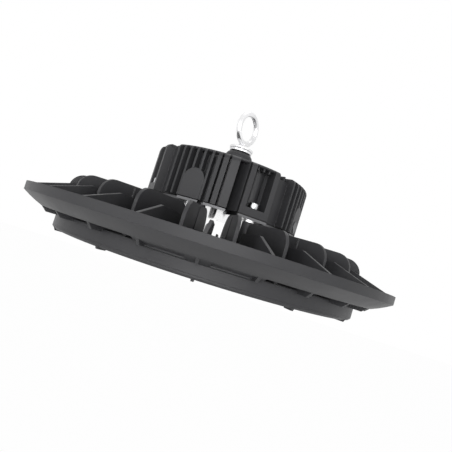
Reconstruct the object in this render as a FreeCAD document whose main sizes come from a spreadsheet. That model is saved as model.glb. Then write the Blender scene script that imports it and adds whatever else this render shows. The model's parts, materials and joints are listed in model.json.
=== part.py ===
import FreeCAD, Part
import math
import os
import re

import Sketcher
from FreeCAD import Placement, Rotation, Vector

# A round high bay light, millimetres, +Z up, origin in the middle under the ribs of the bezel.
# A finned casting with a dished rim carries the lamps and their lens below. Four spacers above its
# middle carry a polished plate and the finned driver housing, which hangs from an eye bolt.
# Angles are counted from +X towards +Y. What repeats on the driver repeats every quarter turn.

os.makedirs("parts", exist_ok=True)
doc = FreeCAD.newDocument("HighBayLight")

# Driving dimensions
driving_sizes = {
    "Bezel and lens": {
        "bezel_radius": 149,
        "bezel_inner_radius": 126,
        "bezel_thickness": 3,
        "bezel_chamfer": 1.5,
        "rib_depth": 1.5,
        "rib_width": 2.2,
        "rib_length": 11,
        "rib_count": 12,
        "lens_radius": 137,
        "lens_thickness": 2,
        "lens_field_radius": 122,
        "lens_field_drop": 1.4,
        "dome_radius": 9,
        "dome_height": 2.4,
        "gasket_width": 6,
        "lamp_ring_count": 3,
        "lamp_ring_step": 6,
        "lamp_pitch": 28,
        "lamp_size": 5,
        "lamp_height": 0.7,
        "board_thickness": 1.6,
        "board_radius": 118,
        "thermal_pad_thickness": 0.4,
        "running_clearance": 0.2,
    },
    "Heat sink": {
        "floor_top": 14.8,
        "floor_thickness": 4,
        "ring_wall": 3.5,
        "boss_radius": 4.2,
        "boss_circle": 141.6,
        "rim_radius": 180,
        "rim_top": 33,
        "rim_band": 7.2,
        "rim_wall": 3,
        "rim_lip_radius": 163.6,
        "rim_lip_height": 17,
        "rim_dish_radius": 95,
        "fin_count": 24,
        "fin_thickness": 2.7,
        "fin_foot_radius": 60,
        "fin_inner_radius": 69,
        "fin_inner_round": 18,
        "fin_outer_radius": 146.5,
        "fin_outer_top": 53.8,
        "fin_outer_round": 13,
        "fin_to_plate": 2.7,
        "pin_rib_circle": 114.75,
        "pin_rib_radius": 2.1,
        "pin_rib_angle": 37.5,
        "web_thickness": 2.5,
        "web_top": 44.2,
        "web_bend_radius": 141.5,
        "web_rim_radius": 175,
        "web_inner_radius": 97,
        "web_foot": 12.9,
        "web_foot_radius": 159,
        "bridge_thickness": 2.3,
        "bridge_sweep": 33.6,
        "bridge_panel_angle": 8.9,
        "bridge_panel_sweep": 11.2,
        "bridge_panel_depth": 1,
        "bridge_panel_inset": 2.6,
        "post_radius": 5.2,
        "post_top": 56.4,
    },
    "Driver housing": {
        "plate_bottom": 58.4,
        "plate_thickness": 2.2,
        "plate_step_angle": -3.65,
        "plate_step_sweep": 14.7,
        "housing_radius": 77.4,
        "housing_top": 107.2,
        "deck_top": 103,
        "deck_thickness": 4,
        "core_radius": 52,
        "cavity_radius": 46,
        "lobe_radius": 70,
        "lobe_sweep": 60.6,
        "lobe_middle": -26.65,
        "corner_round": 4.5,
        "cooling_fin_count": 6,
        "cooling_fin_thickness": 2,
        "cooling_fin_pitch": 5.5,
        "first_fin_angle": -41.75,
        "deck_rib_count": 2,
        "deck_rib_inner_radius": 48,
        "deck_rib_inset": 0.3,
        "narrow_bar": 3.3,
        "narrow_bar_angle": -9.6,
        "middle_bar": 4.6,
        "middle_bar_angle": -5.2,
        "wide_bar": 7.8,
        "wide_bar_angle": 0.9,
        "tower_angle": 22.5,
        "tower_width": 28.5,
        "tower_front": 76.4,
        "tower_foot": 50,
        "tower_rib_count": 4,
        "recess_width": 18.6,
        "recess_floor": 68.4,
        "recess_back": 62,
        "column_circle": 58.5,
        "column_radius": 7,
        "pad_angle": -22.5,
        "pad_width": 20.4,
        "pad_top": 87.8,
        "pad_front": 77.2,
        "hub_foot_radius": 22,
        "hub_radius": 14.2,
        "hub_top": 127.7,
        "hub_round": 6.5,
        "hub_flare": 8,
        "seal_thickness": 0.8,
        "seal_inset": 1,
        "cavity_wall": 4,
        "cavity_sweep": 48,
        "root_overlap": 1,
        "hole_end_room": 1,
    },
    "Fasteners and spacers": {
        "bolt_circle": 71,
        "bolt_diameter": 6,
        "bolt_head_diameter": 10,
        "bolt_head_height": 5.6,
        "bolt_socket": 5,
        "bolt_socket_depth": 3,
        "bolt_engagement": 13,
        "bolt_end_room": 2,
        "spacer_radius": 4.7,
        "screw_clearance": 0.1,
        "bezel_screw_diameter": 4,
        "bezel_screw_head": 7.6,
        "bezel_screw_length": 6.4,
        "plate_screw_circle": 55,
        "plate_screw_length": 9,
        "board_screw_diameter": 3,
        "board_screw_head": 5.6,
        "board_screw_head_height": 1.3,
        "board_screw_length": 3.4,
        "board_screw_circle": 70,
        "board_screw_count": 6,
        "board_screw_start": 15,
        "drive_width": 2.2,
        "drive_depth": 0.8,
    },
    "Eye bolt": {
        "eye_collar_radius": 12.5,
        "eye_collar_thickness": 3.2,
        "eye_seal_thickness": 1.1,
        "eye_washer_radius": 11,
        "eye_washer_thickness": 1,
        "eye_inner_radius": 12.5,
        "eye_section_radius": 2.85,
        "eye_centre_height": 153.6,
        "eye_neck_radius": 11,
        "eye_neck_waist": 2.9,
        "eye_neck_height": 5.6,
        "eye_neck_flare": 14,
        "eye_turn": 56,
        "thread_diameter": 10,
        "thread_length": 19,
    },
    "Lead, gland and vent": {
        "lead_circle": 36,
        "lead_angle": 157.5,
        "lead_radius": 2.5,
        "conduit_bore_radius": 4,
        "conduit_wall": 2,
        "conduit_foot_radius": 9,
        "conduit_foot_thickness": 3,
        "ring_seal_cord": 1.5,
        "gland_angle": 67.5,
        "gland_height": 74,
        "gland_flats": 19,
        "gland_hex_length": 6,
        "gland_thread_diameter": 16,
        "gland_thread_length": 9,
        "gland_neck_length": 8,
        "gland_wall": 2.4,
        "gland_nut_length": 15,
        "gland_nut_nose": 5,
        "gland_nut_mouth": 5.5,
        "gland_seal_bore": 8,
        "vent_angle": -22.5,
        "vent_height": 68.2,
        "vent_radius": 5.8,
        "vent_head": 0.8,
        "vent_thread_diameter": 8,
        "vent_thread_length": 7,
    },
    "Driver inside": {
        "driver_board_radius": 42,
        "driver_board_height": 66,
        "driver_post_circle": 36,
        "driver_post_angle": 45,
        "driver_post_radius": 3,
        "choke_x": 24.4,
        "choke_y": -11,
        "choke_radius": 11,
        "choke_section": 4.5,
        "transformer_x": -20,
        "transformer_y": -30,
        "transformer_length": 30,
        "transformer_width": 25,
        "transformer_height": 22,
        "capacitor_radius": 8,
        "capacitor_height": 26,
        "capacitor_pitch": 18,
    },
}
sizes = doc.addObject("Spreadsheet::Sheet", "Sizes")
row = 1
for group, group_sizes in driving_sizes.items():
    sizes.set(f"A{row}", group)
    row += 1
    for name, number in group_sizes.items():
        sizes.set(f"A{row}", name)
        sizes.set(f"B{row}", str(number))
        sizes.setAlias(f"B{row}", name)
        row += 1
names = {name for group_sizes in driving_sizes.values() for name in group_sizes}
doc.recompute()

# Heights that follow from the driving dimensions
bezel_top = "(rib_depth + bezel_thickness)"
floor_bottom = "(floor_top - floor_thickness)"
board_bottom = f"({floor_bottom} - thermal_pad_thickness - board_thickness)"
lens_top = f"({bezel_top} + lens_thickness)"
field_bottom = f"({bezel_top} - lens_field_drop)"
plate_top = "(plate_bottom + plate_thickness)"
housing_bottom = f"({plate_top} + seal_thickness)"
cavity_top = "(deck_top - deck_thickness)"
collar_bottom = "(hub_top + eye_washer_thickness + eye_seal_thickness)"
driver_board_top = "(driver_board_height + board_thickness)"
eye_circle = "(eye_inner_radius + eye_section_radius)"
quarter = 4
on_axis = 1e-6


def bound(text):
    # An expression in the names of the sheet, as the document reads it
    return re.sub(r"[a-z]\w*", lambda word: "Sizes." + word[0] if word[0] in names else word[0], text)


def amount(text):
    result = sizes.evalExpression(bound(text))
    return float(getattr(result, "Value", result))


def origin_feature(body, role):
    return next(feature for feature in body.Origin.OriginFeatures if feature.Role == role)


def new_body(label):
    body = doc.addObject("PartDesign::Body", label)
    body.Label = label
    body.AllowCompound = True
    return body


def new_sketch(body, name, role="XZ_Plane", turn="0", height="0"):
    # A sketch is turned about Z. A level one is lifted to a height, and one that faces outwards
    # (YZ) stands that far from the axis
    sketch = body.newObject("Sketcher::SketchObject", name)
    sketch.AttachmentSupport = (origin_feature(body, role), "")
    sketch.MapMode = "FlatFace"
    level = role == "XY_Plane"
    sketch.AttachmentOffset = Placement(Vector(), Rotation(Vector(0, not level, level), 1))
    sketch.setExpression("AttachmentOffset.Rotation.Angle", bound(turn))
    if level:
        sketch.setExpression("AttachmentOffset.Base.z", bound(height))
    elif role == "YZ_Plane":
        sketch.setExpression("AttachmentOffset.Base.x", bound(f"{height} * sin({turn})"))
        sketch.setExpression("AttachmentOffset.Base.z", bound(f"{height} * cos({turn})"))
    return sketch


def pin_point(sketch, geometry, end, across, up):
    # Ties one point of a sketch to its two distances from the origin
    for kind, axis, text in (("DistanceX", -2, across), ("DistanceY", -1, up)):
        if abs(amount(text)) < on_axis:
            sketch.addConstraint(Sketcher.Constraint("PointOnObject", geometry, end, axis))
        else:
            number = sketch.addConstraint(
                Sketcher.Constraint(kind, -1, 1, geometry, end, amount(text)))
            sketch.setExpression(f"Constraints[{number}]", bound(text))


def bow(start, finish, radius):
    # The arc between two points: a positive radius turns left of the way, a negative one right
    middle = (start + finish) * 0.5
    along = finish - start
    across = Vector(-along.y, along.x, 0).normalize()
    offset = math.sqrt(max(radius ** 2 - (along.Length / 2) ** 2, 0))
    centre = middle + across * (offset if radius > 0 else -offset)
    first, last = (start, finish) if radius > 0 else (finish, start)
    angles = [math.atan2(point.y - centre.y, point.x - centre.x) for point in (first, last)]
    circle = Part.Circle(centre, Vector(0, 0, 1), abs(radius))
    return Part.ArcOfCircle(circle, angles[0], angles[1])


def outline(sketch, corners):
    # A closed outline. A corner is (across, up), or (across, up, radius) where an arc leaves it
    points = [Vector(amount(corner[0]), amount(corner[1]), 0) for corner in corners]
    edges = []
    for index, corner in enumerate(corners):
        start, finish = points[index], points[(index + 1) % len(points)]
        if len(corner) == 2:
            edges.append((sketch.addGeometry(Part.LineSegment(start, finish)), 1, 2))
            continue
        radius = amount(corner[2])
        geometry = sketch.addGeometry(bow(start, finish, radius))
        edges.append((geometry, 1, 2) if radius > 0 else (geometry, 2, 1))
    for index, (geometry, start_end, finish_end) in enumerate(edges):
        following = edges[(index + 1) % len(edges)]
        sketch.addConstraint(Sketcher.Constraint(
            "Coincident", geometry, finish_end, following[0], following[1]))
    for (geometry, start_end, finish_end), corner in zip(edges, corners):
        pin_point(sketch, geometry, start_end, corner[0], corner[1])
        if len(corner) == 3:
            number = sketch.addConstraint(
                Sketcher.Constraint("Radius", geometry, abs(amount(corner[2]))))
            sketch.setExpression(f"Constraints[{number}]", bound(f"abs({corner[2]})"))


def block(left, bottom, right, top):
    return [(left, bottom), (right, bottom), (right, top), (left, top)]


def level_circle(sketch, across, up, radius):
    circle = Part.Circle(Vector(amount(across), amount(up), 0), Vector(0, 0, 1), amount(radius))
    geometry = sketch.addGeometry(circle)
    pin_point(sketch, geometry, 3, across, up)
    number = sketch.addConstraint(Sketcher.Constraint("Radius", geometry, amount(radius)))
    sketch.setExpression(f"Constraints[{number}]", bound(radius))


def ring_of_circles(sketch, count, circle, radius, start="0"):
    for place in range(round(amount(str(count)))):
        turn = f"({start} + {place} * 360 / {count})"
        level_circle(sketch, f"{circle} * cos{turn}", f"{circle} * sin{turn}", radius)


def level_bar(sketch, turn, inner, outer, thickness):
    # The plan of a plate that runs out from the axis at one turn
    corners = []
    for along, across in ((inner, "-"), (outer, "-"), (outer, "+"), (inner, "+")):
        opposite = "+" if across == "-" else "-"
        corners.append((f"{along} * cos({turn}) {opposite} {thickness} / 2 * sin({turn})",
                        f"{along} * sin({turn}) {across} {thickness} / 2 * cos({turn})"))
    outline(sketch, corners)


def feature(body, kind, name, sketch):
    made = body.newObject("PartDesign::" + kind, name)
    made.Profile = sketch
    sketch.Visibility = False
    return made


def turned(body, name, corners, kind="Revolution", turn="0", sweep="360"):
    # An outline turned about Z. With a sweep it is centred on its own turn
    sketch = new_sketch(body, name + "_outline", turn=turn)
    outline(sketch, corners)
    made = feature(body, kind, name, sketch)
    made.ReferenceAxis = (sketch, ["V_Axis"])
    made.setExpression("Angle", bound(sweep))
    made.Midplane = sweep != "360"
    return made


def turned_at(body, name, axis, corners, kind="Revolution", turn="0"):
    # An outline turned about an upright axis that stands away from Z
    sketch = new_sketch(body, name + "_outline", turn=turn)
    outline(sketch, [(f"{axis} + {corner[0]}",) + corner[1:] for corner in corners])
    low, high = amount(corners[0][1]), amount(corners[-1][1])
    line = sketch.addGeometry(
        Part.LineSegment(Vector(amount(axis), low, 0), Vector(amount(axis), high, 0)), True)
    pin_point(sketch, line, 1, axis, corners[0][1])
    pin_point(sketch, line, 2, axis, corners[-1][1])
    made = feature(body, kind, name, sketch)
    made.ReferenceAxis = (sketch, ["Axis0"])
    made.Angle = 360
    return made


def upright(body, name, corners, thickness, kind="Pad", turn="0"):
    # A flat plate that stands on edge, centred on its turn
    sketch = new_sketch(body, name + "_outline", turn=turn)
    outline(sketch, corners)
    made = feature(body, kind, name, sketch)
    made.setExpression("Length", bound(thickness))
    made.Midplane = True
    return made


def raised(body, name, bottom, top, draw, kind="Pad", turn="0"):
    # A level outline raised from one height to another, or cut away between them
    sketch = new_sketch(body, name + "_outline", role="XY_Plane", height=bottom, turn=turn)
    draw(sketch)
    made = feature(body, kind, name, sketch)
    made.setExpression("Length", bound(f"{top} - {bottom}"))
    made.Reversed = kind == "Pocket"
    return made


def around(body, made, count):
    # Repeats a feature evenly about Z
    pattern = body.newObject("PartDesign::PolarPattern", made.Name + "_around")
    pattern.Originals = [made]
    pattern.Axis = (origin_feature(body, "Z_Axis"), [""])
    pattern.Angle = 360
    pattern.setExpression("Occurrences", bound(str(count)))
    body.Tip = pattern
    return pattern


# Lens side

def lamp_rings():
    return range(1, round(amount("lamp_ring_count")) + 1)


def bezel_ring():
    body = new_body("bezel_ring")
    turned(body, "bezel_section", [
        ("bezel_inner_radius", "rib_depth"),
        ("bezel_radius - bezel_chamfer", "rib_depth"),
        ("bezel_radius", "rib_depth + bezel_chamfer"),
        ("bezel_radius", bezel_top),
        ("bezel_inner_radius", bezel_top),
    ])
    rib = upright(body, "bezel_rib", [
        ("bezel_radius - rib_length", "rib_depth + bezel_chamfer"),
        ("bezel_radius - rib_length + rib_depth", "0"),
        ("bezel_radius - bezel_chamfer", "0"),
        ("bezel_radius", "rib_depth + bezel_chamfer"),
    ], "rib_width")
    around(body, rib, "rib_count")
    hole = turned_at(body, "bezel_screw_hole", "boss_circle", [
        ("0", "rib_depth"),
        ("bezel_screw_head / 2 + screw_clearance", "rib_depth"),
        ("bezel_screw_diameter / 2 + screw_clearance",
         "rib_depth + (bezel_screw_head - bezel_screw_diameter) / 2"),
        ("bezel_screw_diameter / 2 + screw_clearance", bezel_top),
        ("0", bezel_top),
    ], kind="Groove", turn="180 / rib_count")
    around(body, hole, "rib_count")
    return body


def lens_plate():
    # A clear plate whose field sits lower than its edge, with a dome under each lamp
    body = new_body("lens_plate")
    turned(body, "lens_section", [
        ("0", field_bottom),
        ("lens_field_radius", field_bottom),
        ("lens_field_radius + lens_field_drop", bezel_top),
        ("lens_radius", bezel_top),
        ("lens_radius", lens_top),
        ("lens_field_radius", lens_top),
        ("lens_field_radius - lens_field_drop", f"{field_bottom} + lens_thickness"),
        ("0", f"{field_bottom} + lens_thickness"),
    ])
    for ring in lamp_rings():
        dome = turned_at(body, f"dome_ring_{ring}", f"{ring} * lamp_pitch", [
            ("0", f"{field_bottom} - dome_height",
             "(dome_radius ^ 2 + dome_height ^ 2) / 2 / dome_height"),
            ("dome_radius", field_bottom),
            ("dome_radius", f"{field_bottom} + lens_thickness / 2"),
            ("0", f"{field_bottom} + lens_thickness / 2"),
        ])
        around(body, dome, f"{ring} * lamp_ring_step")
    return body


def lens_gasket():
    body = new_body("lens_gasket")
    turned(body, "gasket_section", block(
        "bezel_inner_radius + running_clearance", lens_top,
        "bezel_inner_radius + gasket_width", floor_bottom))
    return body


def lead_hole(body, bottom, top, radius):
    # The round way of the lead, cut through a level piece
    raised(body, "lead_hole", bottom, top, lambda sketch: level_circle(
        sketch, "lead_circle * cos(lead_angle)", "lead_circle * sin(lead_angle)", radius),
        kind="Pocket")


def board_disc(label, bottom, thickness):
    body = new_body(label)
    turned(body, label + "_section", block("0", bottom, "board_radius", f"{bottom} + {thickness}"))
    lead_hole(body, bottom, f"{bottom} + {thickness}", "lead_radius + running_clearance")
    raised(body, label + "_screw_holes", bottom, f"({bottom} + {thickness})",
           lambda sketch: ring_of_circles(
               sketch, "board_screw_count", "board_screw_circle",
               "board_screw_diameter / 2 + screw_clearance", "board_screw_start"), kind="Pocket")
    return body


def lamps():
    body = new_body("lamps")
    for ring in lamp_rings():
        lamp = raised(body, f"lamp_ring_{ring}", f"{board_bottom} - lamp_height", board_bottom,
                      lambda sketch: outline(sketch, block(
                          f"{ring} * lamp_pitch - lamp_size / 2", "-lamp_size / 2",
                          f"{ring} * lamp_pitch + lamp_size / 2", "lamp_size / 2")))
        around(body, lamp, f"{ring} * lamp_ring_step")
    return body


def bezel_screws():
    body = new_body("bezel_screws")
    screw = turned_at(body, "bezel_screw", "boss_circle", [
        ("0", "rib_depth + drive_depth"),
        ("drive_width / 2", "rib_depth + drive_depth"),
        ("drive_width / 2", "rib_depth"),
        ("bezel_screw_head / 2", "rib_depth"),
        ("bezel_screw_diameter / 2", "rib_depth + (bezel_screw_head - bezel_screw_diameter) / 2"),
        ("bezel_screw_diameter / 2", "rib_depth + bezel_screw_length"),
        ("0", "rib_depth + bezel_screw_length"),
    ], turn="180 / rib_count")
    around(body, screw, "rib_count")
    return body


def board_screws():
    body = new_body("board_screws")
    screw = turned_at(body, "board_screw", "board_screw_circle", [
        ("0", f"{board_bottom} - board_screw_head_height"),
        ("board_screw_head / 2", f"{board_bottom} - board_screw_head_height"),
        ("board_screw_head / 2", board_bottom),
        ("board_screw_diameter / 2", board_bottom),
        ("board_screw_diameter / 2", f"{board_bottom} + board_screw_length"),
        ("0", f"{board_bottom} + board_screw_length"),
    ], turn="board_screw_start")
    around(body, screw, "board_screw_count")
    return body


# Heat sink: floor, ring wall, tall fins, low webs and the dished rim, cast in one piece

def heat_sink():
    body = new_body("heat_sink")
    in_floor = "(floor_top - floor_thickness / 2)"
    turned(body, "floor_and_ring", [
        ("0", floor_bottom),
        ("bezel_radius - ring_wall", floor_bottom),
        ("bezel_radius - ring_wall", bezel_top),
        ("bezel_radius", bezel_top),
        ("bezel_radius", "floor_top"),
        ("0", "floor_top"),
    ])
    raised(body, "screw_bosses", bezel_top, in_floor, lambda sketch: ring_of_circles(
        sketch, "rib_count", "boss_circle", "boss_radius", "180 / rib_count"))
    raised(body, "screw_boss_holes", bezel_top,
           "(rib_depth + bezel_screw_length + screw_clearance)",
           lambda sketch: ring_of_circles(
               sketch, "rib_count", "boss_circle", "bezel_screw_diameter / 2 + screw_clearance",
               "180 / rib_count"), kind="Pocket")
    raised(body, "board_screw_holes", floor_bottom,
           f"({board_bottom} + board_screw_length + screw_clearance)",
           lambda sketch: ring_of_circles(
               sketch, "board_screw_count", "board_screw_circle",
               "board_screw_diameter / 2 + screw_clearance", "board_screw_start"), kind="Pocket")
    lead_hole(body, floor_bottom, "floor_top", "conduit_bore_radius")
    # A round rib stands in eight of the fins, one on each side of every bridge's gap
    raised(body, "pin_ribs", in_floor, "fin_outer_top", lambda sketch: [ring_of_circles(
        sketch, quarter, "pin_rib_circle", "pin_rib_radius", f"{side} * pin_rib_angle")
        for side in (-1, 1)])
    turned(body, "rim", [
        ("rim_lip_radius", "rim_lip_height", "rim_dish_radius"),
        ("rim_radius", "rim_top - rim_band"),
        ("rim_radius", "rim_top"),
        ("rim_radius - rim_wall", "rim_top"),
        ("rim_radius - rim_wall", "rim_top - rim_band + rim_wall / 2", "-rim_dish_radius"),
        ("rim_lip_radius - rim_wall / 3", "rim_lip_height + rim_wall"),
    ])
    bridges(body)
    fin_inner_top = "(plate_bottom - fin_to_plate)"
    fin = upright(body, "tall_fin", [
        ("fin_foot_radius", in_floor),
        ("fin_outer_radius", in_floor),
        ("fin_outer_radius", "fin_outer_top - fin_outer_round", "fin_outer_round"),
        ("fin_outer_radius - fin_outer_round", "fin_outer_top"),
        ("fin_inner_radius + fin_inner_round", fin_inner_top, "fin_inner_round"),
        ("fin_inner_radius", f"{fin_inner_top} - fin_inner_round"),
    ], "fin_thickness", turn="180 / fin_count")
    around(body, fin, "fin_count")
    web = upright(body, "low_web", [
        ("web_inner_radius", "web_foot"),
        ("web_foot_radius", "web_foot"),
        ("rim_lip_radius + rim_wall / 2", "rim_lip_height + rim_wall / 2"),
        ("rim_radius - rim_wall / 2", "rim_top - rim_band + rim_wall / 2"),
        ("rim_radius - rim_wall / 2", "rim_top"),
        ("web_rim_radius", "rim_top"),
        ("web_bend_radius", "web_top"),
        ("web_inner_radius", "web_top"),
    ], "web_thickness")
    around(body, web, "fin_count")
    # The inner ends of four fins swell into posts, which take the spacers and the driver's bolts
    raised(body, "posts", in_floor, "post_top", lambda sketch: ring_of_circles(
        sketch, quarter, "bolt_circle", "post_radius", "tower_angle"))
    raised(body, "post_holes", "(post_top - bolt_engagement - bolt_end_room)", "post_top",
           lambda sketch: ring_of_circles(
               sketch, quarter, "bolt_circle", "bolt_diameter / 2 + screw_clearance",
               "tower_angle"), kind="Pocket")
    return body


def bridges(body):
    # Four stretches of wall close the gap between ring and rim, each with two shallow panels
    bridge_foot = "(floor_top - bridge_thickness)"

    def slope(radius, drop):
        rise = f"(rim_lip_height - {bridge_foot}) / (rim_lip_radius - bezel_radius)"
        return f"{bridge_foot} + ({radius} - bezel_radius) * {rise} - {drop}"
    bridge = turned(body, "bridge", [
        ("bezel_radius - ring_wall", bridge_foot),
        ("bezel_radius", bridge_foot),
        ("rim_lip_radius", "rim_lip_height"),
        ("rim_lip_radius", "rim_lip_height + rim_wall"),
        ("bezel_radius", "floor_top"),
        ("bezel_radius - ring_wall", "floor_top"),
    ], turn="0", sweep="bridge_sweep")
    around(body, bridge, quarter)
    inner = "(bezel_radius + bridge_panel_inset)"
    outer = "(rim_lip_radius - bridge_panel_inset)"
    for side, name in ((-1, "left_panel"), (1, "right_panel")):
        panel = turned(body, name, [
            (inner, slope(inner, "bridge_panel_depth")),
            (outer, slope(outer, "bridge_panel_depth")),
            (outer, slope(outer, "-bridge_panel_depth")),
            (inner, slope(inner, "-bridge_panel_depth")),
        ], kind="Groove", turn=f"{side} * bridge_panel_angle", sweep="bridge_panel_sweep")
        around(body, panel, quarter)


# Driver housing: a core with four finned lobes and four screw towers, cast in one piece

def lobes(body, radius, bottom, top):
    lobe = turned(body, "lobe", block("core_radius - cavity_wall / 2", bottom, radius, top),
                  turn="lobe_middle", sweep="lobe_sweep")
    around(body, lobe, quarter)


def lobed_disc(body, radius, front, bottom, top):
    # The plan that the housing, its seal and its plate share
    turned(body, "core", block("0", bottom, "core_radius", top))
    lobes(body, radius, bottom, top)
    tower = raised(body, "tower", bottom, top, lambda sketch: outline(sketch, block(
        "tower_foot", "-tower_width / 2", front, "tower_width / 2")), turn="tower_angle")
    around(body, tower, quarter)


def bays(body, bottom, top):
    # Where the driver's room reaches into each lobe
    bay = turned(body, "bay", block("cavity_radius - cavity_wall / 2", bottom,
                                    "lobe_radius - cavity_wall", top),
                 kind="Groove", turn="lobe_middle", sweep="cavity_sweep")
    around(body, bay, quarter)


def tower_holes(body, name, circle, diameter, bottom, top):
    raised(body, name, bottom, top, lambda sketch: ring_of_circles(
        sketch, quarter, circle, f"({diameter} / 2 + screw_clearance)", "tower_angle"),
        kind="Pocket")


def cooling_fins(first, following):
    # Turn and thickness of the fins of one lobe, numbered from the first that has a side part
    return [(f"(first_fin_angle + {place} * cooling_fin_pitch)", "cooling_fin_thickness")
            for place in range(round(amount(first)), round(amount(following)))]


def cooling_bars(sketch, fins, inner, outer):
    bars = [(f"{name}_angle", name) for name in ("narrow_bar", "middle_bar", "wide_bar")]
    for turn, thickness in fins + bars:
        level_bar(sketch, turn, inner, outer, thickness)


def driver_housing():
    body = new_body("driver_housing")
    # Core and hub in one turn: the hub is flared at its foot, rounded at its top and bored for the
    # eye bolt, and the core is open below
    eye_bore = "thread_diameter / 2 + screw_clearance"
    eye_hole_floor = f"{collar_bottom} - thread_length - hole_end_room"
    turned(body, "core_and_hub", [
        ("cavity_radius", housing_bottom),
        ("core_radius", housing_bottom),
        ("core_radius", "deck_top"),
        ("hub_foot_radius", "deck_top", "-hub_flare"),
        ("hub_radius", "deck_top + hub_flare"),
        ("hub_radius", "hub_top - hub_round", "hub_round"),
        ("hub_radius - hub_round", "hub_top"),
        (eye_bore, "hub_top"),
        (eye_bore, eye_hole_floor),
        ("0", eye_hole_floor),
        ("0", cavity_top),
        ("cavity_radius", cavity_top),
    ])
    lobes(body, "lobe_radius", housing_bottom, "deck_top")
    bays(body, housing_bottom, cavity_top)
    side_fins = raised(body, "side_fins", housing_bottom, "housing_top",
                       lambda sketch: cooling_bars(
                           sketch, cooling_fins("0", "cooling_fin_count"),
                           "(lobe_radius - root_overlap)", "housing_radius"))
    around(body, side_fins, quarter)
    # An arched flat on each lobe. One takes the cable gland, one the vent, and two stay blank
    in_wall = "(lobe_radius - cavity_wall / 2)"
    for name, kind, start, end in (
            ("pad_room", "Pocket", "pad_front", "(housing_radius + corner_round)"),
            ("cable_pad", "Pad", in_wall, "pad_front")):
        sketch = new_sketch(body, name + "_outline", role="YZ_Plane", turn="pad_angle",
                            height=start)
        outline(sketch, [
            ("-pad_width / 2", housing_bottom),
            ("pad_width / 2", housing_bottom),
            ("pad_width / 2", "pad_top - pad_width / 2", "pad_width / 2"),
            ("0", "pad_top", "pad_width / 2"),
            ("-pad_width / 2", "pad_top - pad_width / 2"),
        ])
        pad = feature(body, kind, name, sketch)
        pad.setExpression("Length", bound(f"{end} - {start}"))
        pad.Reversed = kind == "Pocket"
        around(body, pad, quarter)
    side_hole(body, "gland_hole", "gland_angle", "gland_height",
              "gland_thread_diameter / 2 + screw_clearance")
    side_hole(body, "vent_hole", "vent_angle", "vent_height",
              "vent_thread_diameter / 2 + screw_clearance")
    deck_ribs = raised(body, "deck_ribs", "(deck_top - root_overlap)", "housing_top",
                       lambda sketch: cooling_bars(
                           sketch, cooling_fins("-deck_rib_count", "cooling_fin_count"),
                           "deck_rib_inner_radius", "(lobe_radius - deck_rib_inset)"))
    around(body, deck_ribs, quarter)
    tower = raised(body, "tower", housing_bottom, "housing_top", lambda sketch: outline(
        sketch, block("tower_foot", "-tower_width / 2", "tower_front", "tower_width / 2")),
        turn="tower_angle")
    around(body, tower, quarter)
    turned(body, "corner_rounding", [
        ("housing_radius - corner_round", "housing_top", "-corner_round"),
        ("housing_radius", "housing_top - corner_round"),
        ("housing_radius + corner_round", "housing_top - corner_round"),
        ("housing_radius + corner_round", "housing_top + corner_round"),
        ("housing_radius - corner_round", "housing_top + corner_round"),
    ], kind="Groove")
    tower_recesses(body)
    tower_holes(body, "bolt_holes", "bolt_circle", "bolt_diameter", housing_bottom,
                "recess_floor")
    tower_holes(body, "plate_screw_holes", "plate_screw_circle", "bezel_screw_diameter",
                housing_bottom, "(plate_bottom + plate_screw_length + hole_end_room)")
    return body


def tower_recesses(body):
    # Each tower is open in front above its lug, round a column, and slotted across its deck
    half_chord = "sqrt(column_radius ^ 2 - (recess_back - column_circle) ^ 2)"
    recess = raised(body, "recess", "recess_floor", "housing_top", lambda sketch: outline(sketch, [
        ("housing_radius", "-recess_width / 2"),
        ("housing_radius", "recess_width / 2"),
        ("recess_back", "recess_width / 2"),
        ("recess_back", half_chord, "-column_radius"),
        ("column_circle + column_radius", "0", "-column_radius"),
        ("recess_back", f"-{half_chord}"),
        ("recess_back", "-recess_width / 2"),
    ]), kind="Pocket", turn="tower_angle")
    around(body, recess, quarter)
    slot_width = "(recess_width / (2 * tower_rib_count + 1))"

    def slots(sketch):
        for place in range(round(amount("tower_rib_count")) + 1):
            left = f"(2 * {place} * {slot_width} - recess_width / 2)"
            outline(sketch, block("tower_foot - root_overlap", left,
                                  "column_circle + column_radius", f"{left} + {slot_width}"))
    slot = raised(body, "deck_slots", "deck_top", "housing_top", slots, kind="Pocket",
                  turn="tower_angle")
    around(body, slot, quarter)


def side_hole(body, name, turn, height, radius):
    # A level hole from the driver's room out through the flat pad at this turn
    inside = "(lobe_radius - 2 * cavity_wall)"
    sketch = new_sketch(body, name + "_outline", role="YZ_Plane", turn=turn, height=inside)
    level_circle(sketch, "0", height, radius)
    hole = feature(body, "Pocket", name, sketch)
    hole.setExpression("Length", bound(f"housing_radius - {inside}"))
    hole.Reversed = True


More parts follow.
